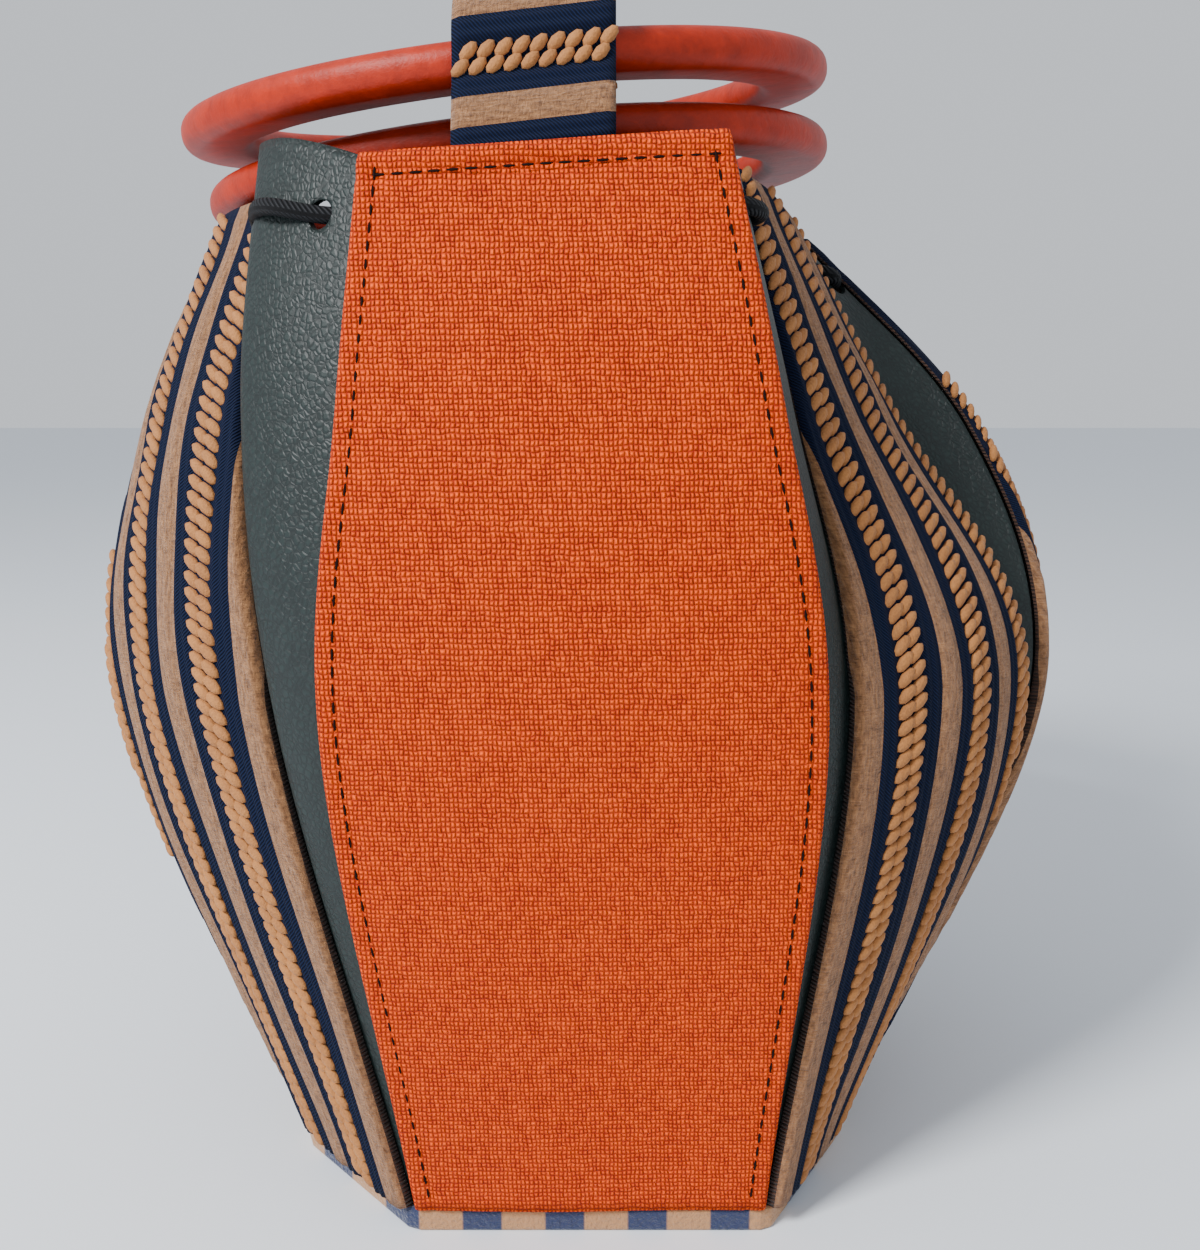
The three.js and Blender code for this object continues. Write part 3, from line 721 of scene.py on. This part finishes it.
# %% Striped panels
STRIPES = (("chenille", 6.0), ("navy", 4.0), ("braid", 6.5), ("navy", 4.0))
COLUMNS = {"chenille": 9, "navy": 8, "braid": 3}
CHENILLE, NAVY = 0, 1
BRAID_GROUND = 0.1
LOBE_PITCH = 3.15
LOBE_ROWS = (-1.45, 1.45)
LOBE_SIZE = (5.4, 2.6, 2.0)
LOBE_LIFT = 0.35
LOBE_SLANT = 48
PUCKER = 0.25
FULL_WIDTHS = [max(PanelRow(k, v).width for v in levels) for k in range(COUNT)]


def stripe_height(kind, step, t):
    """How high the cloth stands in mm, at the share t across a stripe."""
    if kind == "chenille":
        return 0.35 + 0.75 * math.sin(math.pi * t) ** 0.6 + (0.12 if step in (2, 6) else 0)
    if kind == "navy":
        return 0.2 + 0.62 * abs(math.sin(2 * math.pi * t)) ** 0.7
    return BRAID_GROUND


def relief(width_mm, first=0):
    """Columns of the cloth from place 0 to width_mm: place, height and finish, and the braids."""
    places, heights, kinds, braids = [], [], [], []
    start, i = 0.0, first
    while start < width_mm:
        kind, width = STRIPES[i % len(STRIPES)]
        steps = COLUMNS[kind]
        for step in range(steps):
            t = (step + 0.5) / steps
            places.append(start + t * width)
            heights.append(stripe_height(kind, step, t))
            kinds.append(CHENILLE if kind == "chenille" else NAVY)
        if kind == "braid":
            braids.append(start + width / 2)
        start += width
        i += 1
    return np.array(places), np.array(heights), kinds, braids


def striped_places(k, row, v, places):
    """Shares across panel k for places in the cloth, and which of them lie on the panel."""
    side, cut = PANELS[k][2:]
    if side == "middle":
        low = (FULL_WIDTHS[k] - row.width) / 2
    else:
        low = max(0, spline(cut, v))
    inside = (np.asarray(places) - low) / row.width
    held = np.clip(inside, 0, 1)
    return (1 - held if side == "end" else held), (inside > 0.015) & (inside < 0.985)


def striped_panel(k):
    name, _, side, _ = PANELS[k]
    places, heights, kinds, braids = relief(FULL_WIDTHS[k] + 3)
    outer, inner, uv = [], [], []
    for v in levels:
        row = PanelRow(k, v)
        shares, _ = striped_places(k, row, v, places)
        from_side = np.minimum(shares, 1 - shares) * row.width
        lift = heights * np.clip(from_side / 0.8, 0, 1) * min(1, (1.001 - v) * 40)
        pucker = PUCKER * np.sin(26 * v + places * 0.2)
        outer.append(row.at(shares, rolled(from_side) - lift - pucker * np.clip(from_side / 6, 0, 1)))
        inner.append(row.at(shares, np.full(len(shares), CLOTH_THICK)))
        uv.append(np.column_stack([places, outer[-1][:, 2]]))
    outer, inner, uv = (np.array(grid) for grid in (outer, inner, uv))
    if side == "end":
        outer, inner, uv, kinds = outer[:, ::-1], inner[:, ::-1], uv[:, ::-1], kinds[::-1]
    piece = wall(f"cloth_{name}", outer, inner, uv, [chenille, navy_cord, inside_shade_cloth], kinds)
    finish_piece(piece, f"panel_{name}")
    braid_lobes(k, braids)


def braid_lobes(k, braids):
    """Two rows of slanted lobes along each braid, left out where the panel's edge cuts it."""
    spots, ways, outs = [], [], []
    for centre in braids:
        for line, offset in enumerate(LOBE_ROWS):
            points, normals, held = [], [], []
            for v in np.linspace(0.004, 0.994, 160):
                row = PanelRow(k, v)
                share, inside = striped_places(k, row, v, [centre + offset])
                point, normal = on_face(row, share, -LOBE_LIFT)
                points.append(point)
                normals.append(normal)
                held.append(float(inside[0]))
            start = LOBE_PITCH * (0.25 + 0.5 * line)
            places, along, marks, length = along_path(points, LOBE_PITCH, start)
            keep = np.interp(marks, length, held) > 0.95
            spots.append(places[keep])
            ways.append(along[keep])
            outs.append(at_marks(marks, length, np.array(normals))[keep])
    slant = LOBE_SLANT if PANELS[k][2] == "end" else -LOBE_SLANT
    piece = beads(f"braid_{PANELS[k][0]}", np.concatenate(spots), np.concatenate(ways),
                  np.concatenate(outs), LOBE_SIZE, (0, 0, slant), braid_tan)
    finish_piece(piece, None)


striped = [k for k in range(COUNT) if k not in ORANGE_PANELS]
for k in striped:
    striped_panel(k)
print("striped panels:", [PANELS[k][0] for k in striped])

# %% [markdown]
# The gussets are soft leather sewn under the panels' edges. Each is a fine grid across the open
# part, with a turned hem at the top and a slot near each panel for the cord. The slots are cut
# with a Boolean modifier, because the cord really passes through them.

# %% Leather gussets
LEATHER_SHARES = np.linspace(0, 1, 25)
LEATHER_HEM_V, LEATHER_HEM_THICKER = 0.955, 1.25
SLOT_RADIUS, SLOT_DEPTH, SLOT_SIDES = 2.7, 9, 20


def gusset_line(k, v, depth):
    """One level line of gusset k: the strip under each panel and the open part between."""
    behind = CLOTH_THICK + SEAM_GAP + depth
    first, last = PanelRow(k - 1, v), PanelRow(k, v)
    left = first.at(1 - LAP / first.width, behind)
    right = last.at(LAP / last.width, behind)
    return np.concatenate([left, gusset_row(k, v, LEATHER_SHARES, depth), right])


def gusset_grid(k):
    """The leather's two sides. Where it is narrow, near the foot, its back stays level with its face."""
    outer, inner, uv = [], [], []
    for v in levels[::2]:
        line = gusset_line(k, v, 0)
        thick = LEATHER_THICK * (LEATHER_HEM_THICKER if v > LEATHER_HEM_V else 1.0)
        straight = gusset_line(k, v, LEATHER_THICK)
        way = np.gradient(line[:, :2], axis=0)
        flat = np.stack([way[:, 1], -way[:, 0]], 1)
        flat /= np.linalg.norm(flat, axis=1, keepdims=True)
        square = line - np.column_stack([flat * thick, np.zeros(len(line))])
        share = min(max(np.linalg.norm(line[-2] - line[1]) / (10 * LEATHER_THICK) - 0.3, 0), 1)
        steps = lengths(line)
        outer.append(line)
        inner.append(straight * (1 - share) + square * share)
        uv.append(np.column_stack([steps - steps[-1] / 2, line[:, 2]]))
    return np.array(outer), np.array(inner), np.array(uv)


def cord_level(k):
    """The v at which the cord runs, CORD_DROP mm below the mouth."""
    top = EDGES[k % COUNT][0][-1][2]
    span = (top - foot_z) * (SECTIONS[3] - SECTIONS[2])
    return 1 - CORD_DROP / span / (len(SECTIONS) - 1)


def slots(k):
    """Centre and outward way of gusset k's two slots."""
    v = cord_level(k)
    found = []
    for share in (SLOT_PLACE, 1 - SLOT_PLACE):
        near = [share - SLOT_PLACE / 2, share, share + SLOT_PLACE / 2]
        before, centre, after = gusset_row(k, v, near)
        out = outwards((after - before)[:2])
        found.append((centre - np.append(out, 0) * LEATHER_THICK / 2, out))
    return found


def leather_gusset(k):
    name = GUSSETS[k][0]
    outer, inner, uv = gusset_grid(k)
    piece = wall(f"leather_{name}", outer, inner, uv, [green_leather])
    whole = len(piece.data.polygons)
    for centre, out in slots(k):
        turn = math.atan2(out[1], out[0]) + math.pi / 2
        bpy.ops.mesh.primitive_cylinder_add(vertices=SLOT_SIDES, radius=SLOT_RADIUS * MM,
                                            depth=SLOT_DEPTH * MM, rotation=(math.pi / 2, 0, turn),
                                            location=[value * MM for value in centre])
        cutter = bpy.context.object
        cut = piece.modifiers.new("slot", "BOOLEAN")
        cut.object = cutter
        cut.solver = "EXACT"
        cut.use_self = True  # a folded wall crosses itself, and would be lost without this
        bpy.context.view_layer.objects.active = piece
        bpy.ops.object.modifier_apply(modifier=cut.name)
        bpy.data.objects.remove(cutter)
    print(name, "faces before and after its slots:", whole, len(piece.data.polygons))
    finish_piece(piece, f"gusset_{name}")


for k in range(COUNT):
    leather_gusset(k)

# %% [markdown]
# The cord is one loop: behind each panel, out of one slot, over the leather and in at the next.
# It is a round tube whose UV map counts millimetres round and along it, for the plies.

# %% Drawstring
PANEL_STOPS = (0.22, 0.5, 0.78)
CORD_STEPS, CORD_SIDES = 480, 14


def cord_points():
    clear = CORD_DIAMETER / 2 + SEAM_GAP
    points = []
    for k in range(COUNT):
        v = cord_level(k)
        (first, _), (second, _) = slots(k)
        way = outwards((second - first)[:2])
        middle, crest = gusset_row(k, v, [0.5, GUSSETS[k][3]])
        reach = max(0, (crest - middle)[:2] @ way) + clear + SEAM_GAP
        points += [first, middle + np.append(way * reach, 0), second]
        for s in PANEL_STOPS:
            level = v + (cord_level(k + 1) - v) * s
            points.append(PanelRow(k, level).at(s, CLOTH_THICK + LEATHER_THICK + 2 * clear)[0])
    return points


def ring_faces(count, sides):
    """Faces of a closed ring: count outlines in turn, each of the same number of sides."""
    return [(i * sides + j, (i + 1) % count * sides + j, (i + 1) % count * sides + (j + 1) % sides,
             i * sides + (j + 1) % sides) for i in range(count) for j in range(sides)]


def tube(name, route, radius, sides, finish):
    """A closed round tube through the points of a level route that ends where it starts."""
    ways = np.roll(route, -1, axis=0) - np.roll(route, 1, axis=0)
    ways /= np.linalg.norm(ways, axis=1, keepdims=True)
    side = np.cross(ways, (0, 0, 1))
    side /= np.linalg.norm(side, axis=1, keepdims=True)
    up = np.cross(side, ways)
    turns = np.linspace(0, 2 * math.pi, sides, endpoint=False)
    rings = (route[:, None] + radius * (np.cos(turns)[None, :, None] * side[:, None]
                                        + np.sin(turns)[None, :, None] * up[:, None]))
    count = len(route)
    faces = ring_faces(count, sides)
    mesh = bpy.data.meshes.new(name)
    mesh.from_pydata((rings.reshape(-1, 3) * MM).tolist(), [], faces)
    length = lengths(route)
    layer = mesh.uv_layers.new(name="cloth")
    spots = [(j * 2 * math.pi * radius / sides / UV_UNIT, length[i] / UV_UNIT)
             for i in range(count) for j in range(sides)]
    for polygon in mesh.polygons:
        for corner in polygon.loop_indices:
            layer.data[corner].uv = spots[mesh.loops[corner].vertex_index]
    return link_piece(name, mesh, finish)


cord_stops = cord_points()
cord_route = np.array([through(cord_stops, v, closed=True)
                       for v in np.linspace(0, 1, CORD_STEPS, endpoint=False)])
cord = tube("drawstring_cord", cord_route, CORD_DIAMETER / 2, CORD_SIDES, black_cord)
finish_piece(cord, "drawstring")
print("cord length in mm:", round(lengths(cord_route)[-1]))

# %% [markdown]
# The handles are turned wooden rings, flat with rounded edges. Each lies where its solid lies:
# the middle and the tilt are measured from the solid's own mesh.

# %% Ring handles
RING_RADIUS, RING_BAR, RING_THICK, RING_EDGE = 75, 16, 8, 3.6
RING_STEPS, CORNER_STEP = 160, 15


def ring_frame(node):
    """The middle of a ring's solid and its three directions, the last one square to its face."""
    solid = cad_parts[node]
    points = np.array([vertex.co[:] for vertex in solid.data.vertices]) / MM
    centre = (points.max(axis=0) + points.min(axis=0)) / 2
    _, _, ways = np.linalg.svd(points - centre, full_matrices=False)
    up = ways[2] * np.sign(ways[2][2])
    across = np.cross((0, 1, 0), up)
    across /= np.linalg.norm(across)
    return centre, across, np.cross(up, across), up


def wooden_ring(node):
    """The bar's rounded outline, walked round the ring's middle."""
    centre, across, deep, up = ring_frame(node)
    profile = []
    for (x, y, start) in ((RING_RADIUS, -1, -90), (RING_RADIUS, 1, 0),
                          (RING_RADIUS - RING_BAR, 1, 90), (RING_RADIUS - RING_BAR, -1, 180)):
        inwards = -1 if x == RING_RADIUS else 1
        for turn in range(0, 91, CORNER_STEP):
            angle = math.radians(start + turn)
            profile.append((x + inwards * RING_EDGE + RING_EDGE * math.cos(angle),
                            y * (RING_THICK / 2 - RING_EDGE) + RING_EDGE * math.sin(angle)))
    steps, sides = RING_STEPS, len(profile)
    points = []
    for i in range(steps):
        angle = 2 * math.pi * i / steps
        way = across * math.cos(angle) + deep * math.sin(angle)
        points += [(centre + way * radius + up * height) * MM for radius, height in profile]
    faces = ring_faces(steps, sides)
    mesh = bpy.data.meshes.new("wooden_" + node)
    mesh.from_pydata([point.tolist() for point in points], [], faces)
    piece = link_piece("wooden_" + node, mesh, ring_paint)
    shape = bmesh.new()
    shape.from_mesh(mesh)
    bmesh.ops.recalc_face_normals(shape, faces=shape.faces)
    shape.to_mesh(mesh)
    shape.free()
    finish_piece(piece, node)


for node in ("ring_upper", "ring_lower"):
    wooden_ring(node)
print("ring middles in mm:", [ring_frame(node)[0].round(1).tolist() for node in ("ring_upper", "ring_lower")])

# %% [markdown]
# Each tab is a strip of the striped cloth with its stripes level. One end is behind the panel's
# hem. From there it goes up and over a ring's bar with a loose crown, and back under the bar.
# The strip follows one curve, seen from the side, and its relief is the same as the panels'.

# %% Tabs
TAB_WIDTH = 29.5
TAB_THICK = 1.8
TAB_BEHIND_HEM = 1.2
TAB_START = 2  # the stripe that the strip begins with, hidden behind the hem
TAB_TALLEST = 0.9
TAB_COLUMNS = 21
TAB_LOBE_SIZE = (4.4, 2.4, 1.9)
TAB_LOBE_LIFT = 0.55
TAB_LOBE_SLANT = 40
END_ROOM, LOBE_END_ROOM = 0.5, 3
# the strip's line, in mm outwards and upwards from the middle of the bar
TAB_LINE = [(10.2, -2), (9.6, 5), (5.28, 11), (-1.95, 12.2), (-10.4, 8.5), (-13, 1.5),
            (-9.75, -5.4), (2.88, -5.9), (7.488, -6.6)]
TAB_HEM_LINE = (-7, 1)  # heights of its two places behind the hem, from the hem's top


def tab_line(node, panel, side):
    """The strip's line at its middle, where that middle is in x, and how far it tips per mm."""
    low, high = (np.array(corner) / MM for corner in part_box(node))
    centre, _, _, up = ring_frame("ring_upper" if side < 0 else "ring_lower")
    middle_x = (low[0] + high[0]) / 2
    from_centre = middle_x - centre[0]
    bar_y = centre[1] + side * math.sqrt((RING_RADIUS - RING_BAR / 2) ** 2 - from_centre ** 2)
    roll = -up[0] / up[2]
    bar_z = centre[2] - up[1] / up[2] * (bar_y - centre[1]) + roll * from_centre
    hem = PanelRow(panel, 1.0)
    share = (middle_x - hem.start[0]) / (hem.end[0] - hem.start[0])
    _, hem_y, hem_z = hem.at(share, CLOTH_THICK + TAB_BEHIND_HEM)[0]
    stops = [np.array((0.0, hem_y, hem_z + rise)) for rise in TAB_HEM_LINE]
    stops += [np.array((0.0, bar_y + side * out, bar_z + rise)) for out, rise in TAB_LINE]
    return np.array([through(stops, v) for v in np.linspace(0, 1, 400)]), middle_x, roll


def tab_strip(node, panel, side):
    line, middle_x, roll = tab_line(node, panel, side)
    length = lengths(line)
    places, heights, kinds, braids = relief(length[-1] - END_ROOM, TAB_START)
    places = places[places < length[-1] - END_ROOM]
    rows = at_marks(places, length, line)
    way = at_marks(places + 0.4, length, line) - at_marks(places - 0.4, length, line)
    way /= np.linalg.norm(way, axis=1, keepdims=True)
    outs = np.column_stack([np.zeros(len(way)), side * way[:, 2], -side * way[:, 1]])
    x = np.linspace(-TAB_WIDTH / 2, TAB_WIDTH / 2, TAB_COLUMNS)
    edge = np.clip((TAB_WIDTH / 2 - np.abs(x)) / 0.8, 0, 1)
    outer, inner, uv = [], [], []
    for place, height, spot, normal in zip(places, heights, rows, outs):
        level = np.column_stack([x + middle_x, np.full(len(x), spot[1]), spot[2] + roll * x])
        outer.append(level + normal * (min(height, TAB_TALLEST) * edge)[:, None])
        inner.append(level - normal * TAB_THICK)
        uv.append(np.column_stack([np.full(len(x), place), x]))
    outer, inner, uv = (np.array(grid).transpose(1, 0, 2) for grid in (outer, inner, uv))
    if side > 0:
        outer, inner, uv = outer[::-1], inner[::-1], uv[::-1]
    piece = wall("strip_" + node, outer, inner, uv, [chenille, navy_cord, orange_cloth],
                 kinds[:len(places)])
    finish_piece(piece, node)
    held = [place for place in braids if place < length[-1] - LOBE_END_ROOM]
    tab_lobes(node, held, line, length, side, middle_x, roll)


def tab_lobes(node, braids, line, length, side, middle_x, roll):
    """The braid's lobes, in level rows across the strip."""
    spots, ways, outs = [], [], []
    for centre in braids:
        for row, offset in enumerate(LOBE_ROWS):
            spot, further = at_marks(np.array([centre + offset, centre + offset + 0.4]), length, line)
            ahead = further - spot
            normal = np.array((0, side * ahead[2], -side * ahead[1]))
            normal /= max(np.linalg.norm(ahead), 1e-9)
            first = -TAB_WIDTH / 2 + 1.6 + 1.5 * row
            for at in np.arange(first, TAB_WIDTH / 2 - 1.2, LOBE_PITCH):
                on_strip = np.array((middle_x + at, spot[1], spot[2] + roll * at))
                spots.append(on_strip + normal * TAB_LOBE_LIFT)
                ways.append((1, 0, roll))
                outs.append(normal)
    lobes = beads("braid_" + node, spots, ways, outs, TAB_LOBE_SIZE, (0, 0, TAB_LOBE_SLANT), braid_tan)
    finish_piece(lobes, None)
    print(node, "lobes:", len(spots))


FRONT, BACK = ORANGE_PANELS
tab_strip("tab_front", FRONT, -1)
tab_strip("tab_back", BACK, 1)

# %% [markdown]
# The base is a stiffened plate covered in the striped cloth, with its stripes from front to back,
# so its edge shows short blocks of chenille and navy. The outline is the solid's own.

# %% Base
BLOCK_REPEAT = 17  # one chenille block and one navy block
BASE_EDGE = 0.7


def base_cloth():
    """Blocks of chenille and navy about 8.5 mm apart across the bag, read from the Object place."""
    material, tree, shader = new_material("striped_base_cloth", Roughness=0.85, Sheen_Weight=0.3)
    place = object_place(tree)
    parts = add_node(tree, "ShaderNodeSeparateXYZ", {0: place})
    turn = maths(tree, "MULTIPLY", parts.outputs[0], 2 * math.pi / (BLOCK_REPEAT * MM))
    share = maths(tree, "ADD", maths(tree, "MULTIPLY", maths(tree, "SINE", turn), 0.5), 0.5)
    ramp = add_node(tree, "ShaderNodeValToRGB", {"Fac": share})
    for element, position, code in zip(ramp.color_ramp.elements, (0.42, 0.5), ("#16244A", "#A87A50")):
        element.position = position
        element.color = srgb(code)
    tree.links.new(ramp.outputs["Color"], shader.inputs["Base Color"])
    add_bump(tree, shader, noise(tree, place, 0.8 * MM, 4.0), 0.6)
    return material


def base_plate():
    """A copy of the solid's mesh with its points merged, its edges rounded and the cloth on it."""
    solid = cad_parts["base"]
    piece = solid.copy()
    piece.data = solid.data.copy()
    piece.name = "covered_base"
    piece.parent = None
    piece.matrix_world = solid.matrix_world
    bpy.context.collection.objects.link(piece)
    weld(piece, 1.0)
    rounding = piece.modifiers.new("rounding", "BEVEL")
    rounding.width = BASE_EDGE * MM
    rounding.segments = 3
    rounding.limit_method = "ANGLE"
    piece.data.materials.clear()
    piece.data.materials.append(base_cloth())
    finish_piece(piece, "base")


base_plate()
